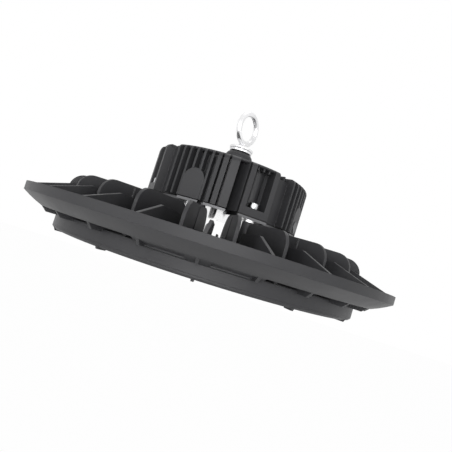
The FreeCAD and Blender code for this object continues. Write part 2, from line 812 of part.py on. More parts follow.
def base_plate():
    # The plate reaches out under the towers, the pads and the thick bars, not under the thin fins
    body = new_body("base_plate")
    lobed_disc(body, "lobe_radius", "tower_front", "plate_bottom", plate_top)
    pad_tab = raised(body, "pad_tab", "plate_bottom", plate_top, lambda sketch: outline(
        sketch, block("core_radius", "-pad_width / 2", "pad_front", "pad_width / 2")),
        turn="pad_angle")
    around(body, pad_tab, quarter)
    bar_tab = turned(body, "bar_tab", block("core_radius", "plate_bottom", "housing_radius",
                                            plate_top),
                     turn="plate_step_angle", sweep="plate_step_sweep")
    around(body, bar_tab, quarter)
    lead_hole(body, "plate_bottom", plate_top, "conduit_bore_radius")
    tower_holes(body, "bolt_holes", "bolt_circle", "bolt_diameter", "plate_bottom", plate_top)
    screw_hole = turned_at(body, "plate_screw_hole", "plate_screw_circle", [
        ("0", "plate_bottom"),
        ("bezel_screw_head / 2 + screw_clearance", "plate_bottom"),
        ("bezel_screw_diameter / 2 + screw_clearance",
         "plate_bottom + (bezel_screw_head - bezel_screw_diameter) / 2"),
        ("bezel_screw_diameter / 2 + screw_clearance", plate_top),
        ("0", plate_top),
    ], kind="Groove", turn="tower_angle")
    around(body, screw_hole, quarter)
    return body


def housing_seal():
    # A flat rubber sheet with the plan of the housing, open over the driver's room
    body = new_body("housing_seal")
    lobed_disc(body, "lobe_radius - seal_inset", "(tower_front - seal_inset)", plate_top,
               housing_bottom)
    turned(body, "room", block("0", plate_top, "cavity_radius", housing_bottom), kind="Groove")
    bays(body, plate_top, housing_bottom)
    tower_holes(body, "bolt_holes", "bolt_circle", "bolt_diameter", plate_top, housing_bottom)
    tower_holes(body, "plate_screw_holes", "plate_screw_circle", "bezel_screw_diameter",
                plate_top, housing_bottom)
    return body


def plate_screws():
    body = new_body("plate_screws")
    screw = turned_at(body, "plate_screw", "plate_screw_circle", [
        ("0", "plate_bottom + drive_depth"),
        ("drive_width / 2", "plate_bottom + drive_depth"),
        ("drive_width / 2", "plate_bottom"),
        ("bezel_screw_head / 2", "plate_bottom"),
        ("bezel_screw_diameter / 2",
         "plate_bottom + (bezel_screw_head - bezel_screw_diameter) / 2"),
        ("bezel_screw_diameter / 2", "plate_bottom + plate_screw_length"),
        ("0", "plate_bottom + plate_screw_length"),
    ], turn="tower_angle")
    around(body, screw, quarter)
    return body


def spacers():
    body = new_body("spacers")
    spacer = turned_at(body, "spacer", "bolt_circle", [
        ("bolt_diameter / 2 + screw_clearance", "post_top"),
        ("spacer_radius", "post_top"),
        ("spacer_radius", "plate_bottom"),
        ("bolt_diameter / 2 + screw_clearance", "plate_bottom"),
    ], turn="tower_angle")
    around(body, spacer, quarter)
    return body


def housing_bolts():
    body = new_body("housing_bolts")
    bolt = turned_at(body, "bolt", "bolt_circle", [
        ("0", "post_top - bolt_engagement"),
        ("bolt_diameter / 2", "post_top - bolt_engagement"),
        ("bolt_diameter / 2", "recess_floor"),
        ("bolt_head_diameter / 2", "recess_floor"),
        ("bolt_head_diameter / 2", "recess_floor + bolt_head_height"),
        ("bolt_socket / 2", "recess_floor + bolt_head_height"),
        ("bolt_socket / 2", "recess_floor + bolt_head_height - bolt_socket_depth"),
        ("0", "recess_floor + bolt_head_height - bolt_socket_depth"),
    ], turn="tower_angle")
    around(body, bolt, quarter)
    return body


# Eye bolt with its washer and seal

def eye_bolt():
    body = new_body("eye_bolt")
    turned(body, "collar_and_shank", [
        ("0", f"{collar_bottom} - thread_length"),
        ("thread_diameter / 2", f"{collar_bottom} - thread_length"),
        ("thread_diameter / 2", collar_bottom),
        ("eye_collar_radius", collar_bottom),
        ("eye_collar_radius", f"{collar_bottom} + eye_collar_thickness"),
        ("eye_neck_radius", f"{collar_bottom} + eye_collar_thickness", "-eye_neck_flare"),
        ("eye_neck_waist", f"{collar_bottom} + eye_collar_thickness + eye_neck_height"),
        ("0", f"{collar_bottom} + eye_collar_thickness + eye_neck_height"),
    ])
    # The loop is a round section turned about the level axis through the loop's centre
    sketch = new_sketch(body, "loop_outline", role="XY_Plane", height="eye_centre_height")
    sketch.AttachmentOffset = Placement(Vector(0, 0, amount("eye_centre_height")),
                                        Rotation(Vector(0, 0, 1), 1))
    sketch.setExpression("AttachmentOffset.Rotation.Angle", bound("eye_turn"))
    level_circle(sketch, eye_circle, "0", "eye_section_radius")
    loop = feature(body, "Revolution", "loop", sketch)
    loop.ReferenceAxis = (sketch, ["V_Axis"])
    loop.Angle = 360
    return body


def washer(label, radius, bottom, thickness):
    body = new_body(label)
    turned(body, label + "_section", block(
        "thread_diameter / 2 + running_clearance", bottom, radius, f"{bottom} + {thickness}"))
    return body


# The lead between driver and lamps, in its conduit

def lead_conduit():
    body = new_body("lead_conduit")
    tube_radius = "(conduit_bore_radius + conduit_wall)"
    turned_at(body, "conduit", "lead_circle", [
        ("conduit_bore_radius", "floor_top"),
        ("conduit_foot_radius", "floor_top"),
        ("conduit_foot_radius", "floor_top + conduit_foot_thickness"),
        (tube_radius, "floor_top + conduit_foot_thickness"),
        (tube_radius, "plate_bottom - conduit_foot_thickness"),
        ("conduit_foot_radius", "plate_bottom - conduit_foot_thickness"),
        ("conduit_foot_radius", "plate_bottom"),
        ("conduit_bore_radius", "plate_bottom"),
    ], turn="lead_angle")
    for name, bottom, top in conduit_seal_seats:
        turned_at(body, name, "lead_circle", block(
            f"{tube_radius}", bottom, f"{tube_radius} + ring_seal_cord", top),
            kind="Groove", turn="lead_angle")
    return body


def conduit_seals():
    body = new_body("conduit_seals")
    tube_radius = "(conduit_bore_radius + conduit_wall)"
    for name, bottom, top in conduit_seal_seats:
        turned_at(body, name, "lead_circle", block(
            f"{tube_radius} + running_clearance / 2", bottom,
            f"{tube_radius} + ring_seal_cord - running_clearance / 2", top), turn="lead_angle")
    return body


def lamp_lead():
    body = new_body("lamp_lead")
    turned_at(body, "lead", "lead_circle", block(
        "0", board_bottom, "lead_radius", "driver_board_height"), turn="lead_angle")
    return body


# Cable gland and vent, modelled about Z and then laid on the pads of the housing

def on_pad(body, turn, height):
    outwards = Rotation(Vector(0, 0, 1), amount(turn)) * Rotation(Vector(0, 1, 0), 90)
    body.Placement = Placement(Vector(), outwards)
    body.setExpression("Placement.Base.x", bound(f"pad_front * cos({turn})"))
    body.setExpression("Placement.Base.y", bound(f"pad_front * sin({turn})"))
    body.setExpression("Placement.Base.z", bound(height))
    return body


def hexagon(sketch, flats):
    outline(sketch, [(f"{flats} / sqrt(3) * cos({corner})", f"{flats} / sqrt(3) * sin({corner})")
                     for corner in range(0, 360, 60)])


def gland_body():
    body = new_body("gland_body")
    raised(body, "gland_hex", "0", "gland_hex_length",
           lambda sketch: hexagon(sketch, "gland_flats"))
    turned(body, "gland_stem", block(
        "0", "-gland_thread_length", "gland_thread_diameter / 2",
        "gland_hex_length + gland_neck_length"))
    turned(body, "gland_throat", block(
        "0", "-gland_thread_length", "gland_seal_bore / 2 + running_clearance",
        "gland_hex_length + gland_neck_length"), kind="Groove")
    turned(body, "gland_cup", block(
        "0", "gland_hex_length", "gland_thread_diameter / 2 - gland_wall",
        "gland_hex_length + gland_neck_length"), kind="Groove")
    return on_pad(body, "gland_angle", "gland_height")


def gland_nut():
    body = new_body("gland_nut")
    foot = "(gland_hex_length + 2 * running_clearance)"
    raised(body, "nut_hex", foot, f"{foot} + gland_nut_length - gland_nut_nose",
           lambda sketch: hexagon(sketch, "gland_flats"))
    turned(body, "nut_nose", [
        ("0", foot),
        ("gland_flats / 2", foot),
        ("gland_flats / 2", f"{foot} + gland_nut_length - gland_nut_nose", "gland_nut_nose"),
        ("gland_nut_mouth", f"{foot} + gland_nut_length"),
        ("0", f"{foot} + gland_nut_length"),
    ])
    turned(body, "nut_bore", [
        ("0", foot),
        ("gland_thread_diameter / 2 + screw_clearance", foot),
        ("gland_thread_diameter / 2 + screw_clearance",
         "gland_hex_length + gland_neck_length + screw_clearance"),
        ("gland_seal_bore / 2 + running_clearance", f"{foot} + gland_nut_length"),
        ("0", f"{foot} + gland_nut_length"),
    ], kind="Groove")
    return on_pad(body, "gland_angle", "gland_height")


def gland_seal():
    body = new_body("gland_seal")
    turned(body, "seal_sleeve", block(
        "gland_seal_bore / 2", "gland_hex_length",
        "gland_thread_diameter / 2 - gland_wall - screw_clearance",
        "gland_hex_length + gland_neck_length"))
    return on_pad(body, "gland_angle", "gland_height")


def breather_vent():
    body = new_body("breather_vent")
    turned(body, "vent_section", [
        ("0", "-vent_thread_length"),
        ("vent_thread_diameter / 2", "-vent_thread_length"),
        ("vent_thread_diameter / 2", "0"),
        ("vent_radius", "0"),
        ("vent_radius", "vent_head / 2"),
        ("vent_radius - vent_head / 2", "vent_head"),
        ("0", "vent_head"),
    ])
    return on_pad(body, "vent_angle", "vent_height")


# The driver inside the housing

def driver_board():
    body = new_body("driver_board")
    turned(body, "driver_board_section", block(
        "0", "driver_board_height", "driver_board_radius", driver_board_top))
    return body


def board_posts():
    body = new_body("board_posts")
    post = turned_at(body, "board_post", "driver_post_circle", block(
        "0", plate_top, "driver_post_radius", "driver_board_height"), turn="driver_post_angle")
    around(body, post, quarter)
    return body


def transformer():
    box = doc.addObject("Part::Box", "transformer")
    for side, name in (("Length", "length"), ("Width", "width"), ("Height", "height")):
        box.setExpression(side, bound(f"transformer_{name}"))
    box.setExpression("Placement.Base.x", bound("transformer_x"))
    box.setExpression("Placement.Base.y", bound("transformer_y"))
    box.setExpression("Placement.Base.z", bound(driver_board_top))
    return box


def choke():
    ring = doc.addObject("Part::Torus", "choke")
    ring.setExpression("Radius1", bound("choke_radius - choke_section"))
    ring.setExpression("Radius2", bound("choke_section"))
    ring.setExpression("Placement.Base.x", bound("choke_x"))
    ring.setExpression("Placement.Base.y", bound("choke_y"))
    ring.setExpression("Placement.Base.z", bound(f"{driver_board_top} + choke_section"))
    return ring


def capacitors():
    row_of_cans = doc.addObject("Part::Compound", "capacitors")
    cans = []
    for place in (-1, 0, 1):
        can = doc.addObject("Part::Cylinder", f"capacitor_{place + 2}")
        can.setExpression("Radius", bound("capacitor_radius"))
        can.setExpression("Height", bound("capacitor_height"))
        can.setExpression("Placement.Base.x", bound(f"{place} * capacitor_pitch"))
        can.setExpression("Placement.Base.y", bound("capacitor_pitch"))
        can.setExpression("Placement.Base.z", bound(driver_board_top))
        cans.append(can)
    row_of_cans.Links = cans
    return row_of_cans


conduit_seal_seats = [
    ("lower_seat", "floor_top", "floor_top + ring_seal_cord"),
    ("upper_seat", "plate_bottom - ring_seal_cord", "plate_bottom"),
]
pieces = [
    bezel_ring(),
    bezel_screws(),
    lens_plate(),
    lens_gasket(),
    lamps(),
    board_disc("lamp_board", board_bottom, "board_thickness"),
    board_disc("thermal_pad", f"{floor_bottom} - thermal_pad_thickness",
               "thermal_pad_thickness"),
    board_screws(),
    heat_sink(),
    spacers(),
    housing_bolts(),
    base_plate(),
    plate_screws(),
    housing_seal(),
    driver_housing(),
    driver_board(),
    board_posts(),
    transformer(),
    choke(),
    capacitors(),
    lamp_lead(),
    lead_conduit(),
    conduit_seals(),
    gland_body(),
    gland_nut(),
    gland_seal(),
    breather_vent(),
    washer("eye_washer", "eye_washer_radius", "hub_top", "eye_washer_thickness"),
    washer("eye_seal", "eye_collar_radius", "hub_top + eye_washer_thickness",
           "eye_seal_thickness"),
    eye_bolt(),
]
doc.recompute()

# Nothing is written unless every feature and every piece is sound
for item in doc.Objects:
    if "Invalid" in item.State or "Error" in item.State:
        raise SystemExit(f"{item.Label} did not build: {item.State}")
for piece in pieces:
    if piece.Shape.isNull() or not piece.Shape.isValid():
        raise SystemExit(f"{piece.Label} has no valid solid")
for piece in pieces:
    piece.Shape.exportStep(f"parts/{piece.Label}.step")
    print(piece.Label, len(piece.Shape.Solids), "solids", round(piece.Shape.Volume), "mm3")
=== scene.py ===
import json
import math

import bmesh
import bpy
from mathutils import Matrix, Vector


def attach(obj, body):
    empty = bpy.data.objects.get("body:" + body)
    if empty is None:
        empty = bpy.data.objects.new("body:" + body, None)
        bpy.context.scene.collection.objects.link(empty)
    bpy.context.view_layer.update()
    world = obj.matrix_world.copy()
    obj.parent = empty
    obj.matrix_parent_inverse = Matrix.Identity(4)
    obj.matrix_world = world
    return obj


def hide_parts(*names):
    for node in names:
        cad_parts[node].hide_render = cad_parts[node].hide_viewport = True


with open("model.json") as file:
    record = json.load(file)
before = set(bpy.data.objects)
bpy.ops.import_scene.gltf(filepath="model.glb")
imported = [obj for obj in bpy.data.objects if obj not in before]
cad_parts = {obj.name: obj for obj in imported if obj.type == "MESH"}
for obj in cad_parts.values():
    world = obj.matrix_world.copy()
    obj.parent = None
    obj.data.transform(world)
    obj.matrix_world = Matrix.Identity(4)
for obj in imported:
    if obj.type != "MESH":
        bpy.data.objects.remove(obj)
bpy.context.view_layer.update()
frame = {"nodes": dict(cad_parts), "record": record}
print("frame loaded:", len(frame["nodes"]), "nodes")

mm = 0.001


# Small helpers for node trees

def addNode(tree, kind, feeds=None, **settings):
    made = tree.nodes.new("ShaderNode" + kind)
    for name, value in settings.items():
        setattr(made, name, value)
    for socket, value in (feeds or {}).items():
        if isinstance(value, bpy.types.NodeSocket):
            tree.links.new(value, made.inputs[socket])
        else:
            made.inputs[socket].default_value = value
    return made


def mixColours(tree, mask, low, high):
    made = addNode(tree, "Mix", data_type="RGBA")
    for index, value in ((0, mask), (6, low), (7, high)):
        if isinstance(value, bpy.types.NodeSocket):
            tree.links.new(value, made.inputs[index])
        else:
            made.inputs[index].default_value = value
    return made.outputs[2]


def spread(tree, value, low, high, fromLow=0.0, fromHigh=1.0):
    # A value from one range carried into another
    return addNode(tree, "MapRange", {"Value": value, "From Min": fromLow, "From Max": fromHigh,
                                      "To Min": low, "To Max": high}).outputs[0]


def times(tree, first, second, operation="MULTIPLY"):
    return addNode(tree, "Math", {0: first, 1: second}, operation=operation).outputs[0]


def newGroup(name, inputs, outputs):
    tree = bpy.data.node_groups.new(name, "ShaderNodeTree")
    for label, default in inputs.items():
        socket = tree.interface.new_socket(label, in_out="INPUT", socket_type="NodeSocketFloat")
        socket.default_value = default
    for label in outputs:
        tree.interface.new_socket(label, in_out="OUTPUT", socket_type="NodeSocketFloat")
    return tree, tree.nodes.new("NodeGroupInput").outputs, tree.nodes.new("NodeGroupOutput").inputs


def useGroup(tree, group, **values):
    made = tree.nodes.new("ShaderNodeGroup")
    made.node_tree = group
    for label, value in values.items():
        socket = made.inputs[label]
        if isinstance(value, bpy.types.NodeSocket):
            tree.links.new(value, socket)
        else:
            socket.default_value = value
    return made.outputs


# Effects that several finishes share

def makeGrain():
    # Fine texture of a sprayed or cast skin: a height for bump and a slow patchy mask
    tree, given, out = newGroup("grain", {"fineness": 900.0, "patchiness": 22.0},
                                ("height", "patches"))
    place = addNode(tree, "TexCoord").outputs["Object"]
    fine = addNode(tree, "TexNoise", {"Vector": place, "Scale": given["fineness"],
                                      "Detail": 3.0, "Roughness": 0.55})
    slow = addNode(tree, "TexNoise", {"Vector": place, "Scale": given["patchiness"],
                                      "Detail": 4.0, "Roughness": 0.6})
    tree.links.new(fine.outputs[0], out["height"])
    tree.links.new(spread(tree, slow.outputs[0], 0.0, 1.0, 0.35, 0.65), out["patches"])
    return tree


def makeEdgeWear():
    # Where an outer edge is rubbed: the rounded normal leaves the face's own normal
    tree, given, out = newGroup("edgeWear", {"width": 0.0006, "amount": 0.5}, ("wear",))
    rounded = addNode(tree, "Bevel", {"Radius": given["width"]}, samples=4)
    flat = addNode(tree, "NewGeometry").outputs["Normal"]
    same = addNode(tree, "VectorMath", {0: rounded.outputs[0], 1: flat},
                   operation="DOT_PRODUCT").outputs["Value"]
    edge = spread(tree, same, 1.0, 0.0, 0.78, 0.97)
    place = addNode(tree, "TexCoord").outputs["Object"]
    broken = addNode(tree, "TexNoise", {"Vector": place, "Scale": 160.0, "Detail": 5.0,
                                        "Roughness": 0.7}).outputs[0]
    chipped = spread(tree, broken, 0.0, 1.0, 0.42, 0.62)
    tree.links.new(times(tree, times(tree, edge, chipped), given["amount"]), out["wear"])
    return tree


def makeDust():
    # What settles on faces that look up
    tree, given, out = newGroup("settledDust", {"amount": 0.2}, ("dust",))
    upward = addNode(tree, "SeparateXYZ", {0: addNode(tree, "NewGeometry").outputs["Normal"]})
    facing = spread(tree, upward.outputs["Z"], 0.0, 1.0, 0.25, 0.95)
    place = addNode(tree, "TexCoord").outputs["Object"]
    drift = addNode(tree, "TexNoise", {"Vector": place, "Scale": 45.0, "Detail": 6.0,
                                       "Roughness": 0.65}).outputs[0]
    tree.links.new(times(tree, times(tree, facing, spread(tree, drift, 0.0, 1.0, 0.3, 0.75)),
                         given["amount"]), out["dust"])
    return tree


grain, edgeWear, settledDust = makeGrain(), makeEdgeWear(), makeDust()
print("shared effects made")


# Finishes

def newFinish(name, **shaderValues):
    material = bpy.data.materials.new(name)
    material.use_nodes = True
    tree = material.node_tree
    shader = tree.nodes["Principled BSDF"]
    for label, value in shaderValues.items():
        shader.inputs[label].default_value = value
    return material, tree, shader


def bumped(tree, shader, height, strength, distance, edgeRadius=None):
    bump = addNode(tree, "Bump", {"Height": height, "Strength": strength, "Distance": distance})
    if edgeRadius:
        softened = addNode(tree, "Bevel", {"Radius": edgeRadius}, samples=6)
        tree.links.new(softened.outputs[0], bump.inputs["Normal"])
    tree.links.new(bump.outputs[0], shader.inputs["Normal"])


powderCoat = {
    "colour": (0.040, 0.040, 0.043, 1), "lightPatch": (0.050, 0.050, 0.053, 1),
    "wornColour": (0.13, 0.13, 0.135, 1), "dustColour": (0.22, 0.215, 0.20, 1),
    "specular": 0.30, "roughness": (0.42, 0.52), "bump": 0.22, "bumpDepth": 0.00012,
    "fineness": 1150.0, "edgeWidth": 0.0005, "edgeAmount": 0.42, "dust": 0.10,
    "edgeRadius": 0.0006, "patchiness": 26.0, "dustRoughness": 0.5, "wearRoughness": -0.1,
}


def makePowderCoat():
    own = powderCoat
    material, tree, shader = newFinish("powderCoat", **{"Specular IOR Level": own["specular"]})
    skin = useGroup(tree, grain, fineness=own["fineness"], patchiness=own["patchiness"])
    wear = useGroup(tree, edgeWear, width=own["edgeWidth"], amount=own["edgeAmount"])["wear"]
    dust = useGroup(tree, settledDust, amount=own["dust"])["dust"]
    colour = mixColours(tree, skin["patches"], own["colour"], own["lightPatch"])
    colour = mixColours(tree, wear, colour, own["wornColour"])
    colour = mixColours(tree, dust, colour, own["dustColour"])
    tree.links.new(colour, shader.inputs["Base Color"])
    rough = spread(tree, skin["patches"], *own["roughness"])
    rough = times(tree, rough, times(tree, dust, own["dustRoughness"]), "ADD")
    rough = times(tree, rough, times(tree, wear, own["wearRoughness"]), "ADD")
    tree.links.new(rough, shader.inputs["Roughness"])
    bumped(tree, shader, skin["height"], own["bump"], own["bumpDepth"], own["edgeRadius"])
    return material


metalSkin = {
    "stretch": 14.0, "fineness": 700.0, "smudgeFineness": 400.0, "patchiness": 60.0,
    "dullShare": 0.82, "bump": 0.10, "bumpDepth": 0.00003,
}


def makeMetal(name, colour, roughness, scratches, smudge=0.10, metallic=1.0):
    # Bare, plated or blackened metal: fine scratches and a few dull patches
    own = metalSkin
    material, tree, shader = newFinish(name, Metallic=metallic)
    place = addNode(tree, "TexCoord").outputs["Object"]
    stretched = addNode(tree, "Mapping", {"Vector": place,
                                          "Scale": (1.0, 1.0, own["stretch"])})
    fine = addNode(tree, "TexNoise", {"Vector": stretched.outputs[0], "Scale": own["fineness"],
                                      "Detail": 3.0, "Roughness": 0.6}).outputs[0]
    patches = useGroup(tree, grain, fineness=own["smudgeFineness"],
                       patchiness=own["patchiness"])["patches"]
    dull = tuple(own["dullShare"] * part for part in colour[:3]) + (1,)
    tree.links.new(mixColours(tree, patches, colour, dull), shader.inputs["Base Color"])
    rough = times(tree, spread(tree, patches, roughness, roughness + smudge),
                  spread(tree, fine, -scratches, scratches, 0.3, 0.7), "ADD")
    tree.links.new(rough, shader.inputs["Roughness"])
    bumped(tree, shader, fine, own["bump"], own["bumpDepth"])
    return material


platePolish = {
    "face": (0.80, 0.80, 0.81, 1), "edge": (0.13, 0.13, 0.135, 1), "faceRoughness": 0.07,
    "edgeRoughness": 0.45, "fineness": 400.0, "patchiness": 50.0, "patchRoughness": 0.04,
    "bump": 0.05, "bumpDepth": 0.00002,
}


def makePlatePolish():
    # Sheet that is polished on its two faces and left dull where it was cut
    own = platePolish
    material, tree, shader = newFinish("polishedPlate", Metallic=1.0)
    facing = addNode(tree, "SeparateXYZ", {0: addNode(tree, "NewGeometry").outputs["Normal"]})
    flat = spread(tree, times(tree, facing.outputs["Z"], 0.0, "ABSOLUTE"), 0.0, 1.0, 0.5, 0.8)
    skin = useGroup(tree, grain, fineness=own["fineness"], patchiness=own["patchiness"])
    tree.links.new(mixColours(tree, flat, own["edge"], own["face"]), shader.inputs["Base Color"])
    rough = spread(tree, flat, own["edgeRoughness"], own["faceRoughness"])
    rough = times(tree, rough, times(tree, skin["patches"], own["patchRoughness"]), "ADD")
    tree.links.new(rough, shader.inputs["Roughness"])
    bumped(tree, shader, skin["height"], own["bump"], own["bumpDepth"])
    return material


softSkin = {
    "specular": 0.4, "patchiness": 70.0, "dust": 0.12, "dustColour": (0.30, 0.29, 0.27, 1),
    "patchRoughness": 0.12, "bumpDepth": 0.0001,
}


def makeSoft(name, colour, lighter, roughness, bump=0.25, fineness=800.0):
    # Rubber, nylon and other dull moulded stuff
    own = softSkin
    material, tree, shader = newFinish(name, **{"Specular IOR Level": own["specular"]})
    skin = useGroup(tree, grain, fineness=fineness, patchiness=own["patchiness"])
    dust = useGroup(tree, settledDust, amount=own["dust"])["dust"]
    tone = mixColours(tree, skin["patches"], colour, lighter)
    tree.links.new(mixColours(tree, dust, tone, own["dustColour"]), shader.inputs["Base Color"])
    rough = spread(tree, skin["patches"], roughness, roughness + own["patchRoughness"])
    tree.links.new(rough, shader.inputs["Roughness"])
    bumped(tree, shader, skin["height"], bump, own["bumpDepth"])
    return material


clearLens = {
    "colour": (0.97, 0.985, 0.99, 1), "bending": 1.49, "ripple": 55.0, "fineness": 500.0,
    "patchiness": 30.0, "roughness": (0.03, 0.09), "bump": 0.15, "bumpDepth": 0.0004,
}


def makeLens():
    # Clear moulded plastic with a faint ripple and a few dull spots
    own = clearLens
    material, tree, shader = newFinish("clearLens", **{
        "Base Color": own["colour"], "Transmission Weight": 1.0, "IOR": own["bending"]})
    place = addNode(tree, "TexCoord").outputs["Object"]
    ripple = addNode(tree, "TexNoise", {"Vector": place, "Scale": own["ripple"],
                                        "Detail": 2.0}).outputs[0]
    spots = useGroup(tree, grain, fineness=own["fineness"],
                     patchiness=own["patchiness"])["patches"]
    tree.links.new(spread(tree, spots, *own["roughness"]), shader.inputs["Roughness"])
    bumped(tree, shader, ripple, own["bump"], own["bumpDepth"])
    return material


lampBoard = {
    "mask": (0.80, 0.81, 0.80, 1), "lightMask": (0.86, 0.86, 0.85, 1),
    "track": (0.66, 0.69, 0.66, 1), "trackPitch": 36.0, "trackEdge": (0.86, 0.94),
    "fineness": 600.0, "patchiness": 40.0, "roughness": (0.32, 0.45), "bump": 0.4,
    "bumpDepth": 0.00006,
}


def makeLampBoard():
    # White solder mask over raised tracks that run round the board
    own = lampBoard
    material, tree, shader = newFinish("whiteBoard", **{"Specular IOR Level": 0.5})
    place = addNode(tree, "TexCoord").outputs["Object"]
    rings = addNode(tree, "TexWave", {"Vector": place, "Scale": own["trackPitch"],
                                      "Distortion": 0.0, "Detail": 0.0},
                    wave_type="RINGS", rings_direction="Z").outputs[1]
    track = spread(tree, rings, 0.0, 1.0, *own["trackEdge"])
    skin = useGroup(tree, grain, fineness=own["fineness"], patchiness=own["patchiness"])
    tone = mixColours(tree, skin["patches"], own["mask"], own["lightMask"])
    tree.links.new(mixColours(tree, track, tone, own["track"]), shader.inputs["Base Color"])
    tree.links.new(spread(tree, skin["patches"], *own["roughness"]), shader.inputs["Roughness"])
    bumped(tree, shader, track, own["bump"], own["bumpDepth"])
    return material


finishes = {
    "painted_casting": makePowderCoat(),
    "dark_screws": makeMetal("blackOxide", (0.055, 0.055, 0.058, 1), 0.34, 0.05, metallic=0.85),
    "clear_lens": makeLens(),
    "silicone_seal": makeSoft("seal", (0.018, 0.018, 0.018, 1), (0.03, 0.03, 0.03, 1), 0.55),
    "lamp_phosphor": makeSoft("phosphor", (0.90, 0.66, 0.10, 1), (0.93, 0.72, 0.16, 1), 0.45,
                              bump=0.1, fineness=2500.0),
    "white_board": makeLampBoard(),
    "grey_pad": makeSoft("heatPad", (0.40, 0.41, 0.42, 1), (0.47, 0.48, 0.49, 1), 0.6),
    "bright_steel": makeMetal("brightSteel", (0.62, 0.63, 0.64, 1), 0.22, 0.06),
    "chrome_plate": makeMetal("chrome", (0.96, 0.96, 0.97, 1), 0.24, 0.03, smudge=0.07,
                              metallic=0.86),
    "polished_plate": makePlatePolish(),
    "vent_cap": makeMetal("ventCap", (0.13, 0.13, 0.135, 1), 0.42, 0.04),
    "green_board": makeSoft("greenBoard", (0.02, 0.16, 0.06, 1), (0.03, 0.20, 0.08, 1), 0.35,
                            fineness=300.0),
    "wound_parts": makeSoft("woundCopper", (0.30, 0.11, 0.04, 1), (0.20, 0.09, 0.05, 1), 0.4,
                            fineness=1800.0),
    "capacitor_cans": makeSoft("canSleeve", (0.03, 0.035, 0.06, 1), (0.05, 0.055, 0.09, 1), 0.3),
    "lead_sleeve": makeSoft("leadSleeve", (0.03, 0.03, 0.03, 1), (0.045, 0.045, 0.045, 1), 0.5),
    "black_nylon": makeSoft("nylon", (0.022, 0.022, 0.024, 1), (0.032, 0.032, 0.034, 1), 0.38),
}
slotOfNode = {row["node"]: row["material_slot"] for row in frame["record"]["subparts"]}
for nodeName, cadNode in frame["nodes"].items():
    cadNode.data.materials.clear()
    cadNode.data.materials.append(finishes[slotOfNode[nodeName]])
print("finishes on the CAD nodes")


# New pieces, sizes in millimetres

def pieceFrom(bm, name, slot, replaced=()):
    bmesh.ops.remove_doubles(bm, verts=bm.verts, dist=1e-6)
    bmesh.ops.recalc_face_normals(bm, faces=bm.faces)
    mesh = bpy.data.meshes.new(name)
    bm.to_mesh(mesh)
    bm.free()
    mesh.shade_smooth()
    mesh.set_sharp_from_angle(angle=math.radians(32))
    mesh.materials.append(finishes[slot])
    piece = bpy.data.objects.new(name, mesh)
    bpy.context.collection.objects.link(piece)
    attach(piece, "root")
    if replaced:
        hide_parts(*replaced)


def lathe(bm, profile, steps):
    # Turns a line of (radius, height) points about Z
    verts = [bm.verts.new((radius * mm, 0, height * mm)) for radius, height in profile]
    edges = [bm.edges.new(pair) for pair in zip(verts, verts[1:])]
    bmesh.ops.spin(bm, geom=verts + edges, cent=(0, 0, 0), axis=(0, 0, 1),
                   angle=math.tau, steps=steps, use_merge=True)
    bmesh.ops.remove_doubles(bm, verts=bm.verts, dist=1e-6)


def loopOf(bm, radius, height, segments):
    made = bmesh.ops.create_circle(bm, segments=segments, radius=radius * mm,
                                   matrix=Matrix.Translation((0, 0, height * mm)))
    return made["verts"]


def edgesOf(verts):
    return list({edge for vert in verts for edge in vert.link_edges
                 if edge.other_vert(vert) in verts})


crossWaist = 0.4  # how far a cross drive's inner corners lie towards its middle


def driveRecess(bm, rim, steps, height, mouth, sides, depth, taper):
    # The flat top of a screw with its drive sunk in: six sides for a socket, twelve for a cross
    outer = loopOf(bm, rim, height, steps)
    inner = loopOf(bm, mouth, height, sides)
    if sides == 12:
        for vert in inner[2::3]:
            vert.co.x *= crossWaist
            vert.co.y *= crossWaist
    innerEdges = edgesOf(inner)
    bmesh.ops.bridge_loops(bm, edges=edgesOf(outer) + innerEdges)
    grown = bmesh.ops.extrude_edge_only(bm, edges=innerEdges)["geom"]
    low = [item for item in grown if isinstance(item, bmesh.types.BMVert)]
    bmesh.ops.translate(bm, verts=low, vec=(0, 0, -depth * mm))
    for vert in low:
        vert.co.x *= taper
        vert.co.y *= taper
    bmesh.ops.edgeloop_fill(bm, edges=edgesOf(low))


def ringPlaces(radius, height, count, start=0.0, flipped=False):
    turn = Matrix.Rotation(math.pi, 4, "X") if flipped else Matrix.Identity(4)
    return [Matrix.Rotation(math.radians(start + index * 360 / count), 4, "Z")
            @ Matrix.Translation((radius * mm, 0, height * mm)) @ turn for index in range(count)]


def repeated(unit, places):
    whole = bmesh.new()
    bmesh.ops.remove_doubles(unit, verts=unit.verts, dist=1e-6)
    bmesh.ops.recalc_face_normals(unit, faces=unit.faces)
    mesh = bpy.data.meshes.new("unit")
    unit.to_mesh(mesh)
    unit.free()
    for place in places:
        before = len(whole.verts)
        whole.from_mesh(mesh)
        whole.verts.ensure_lookup_table()
        bmesh.ops.transform(whole, matrix=place, verts=whole.verts[before:])
    bpy.data.meshes.remove(mesh)
    return whole


socketBolt = {
    "circle": 71.0, "start": 22.5, "seat": 68.4, "headRadius": 4.6, "headHeight": 5.4,
    "shankRadius": 3.0, "shankLength": 25.0, "socket": 2.9, "socketDepth": 3.0, "ridges": 24,
    "ridgeDepth": 0.96,
}


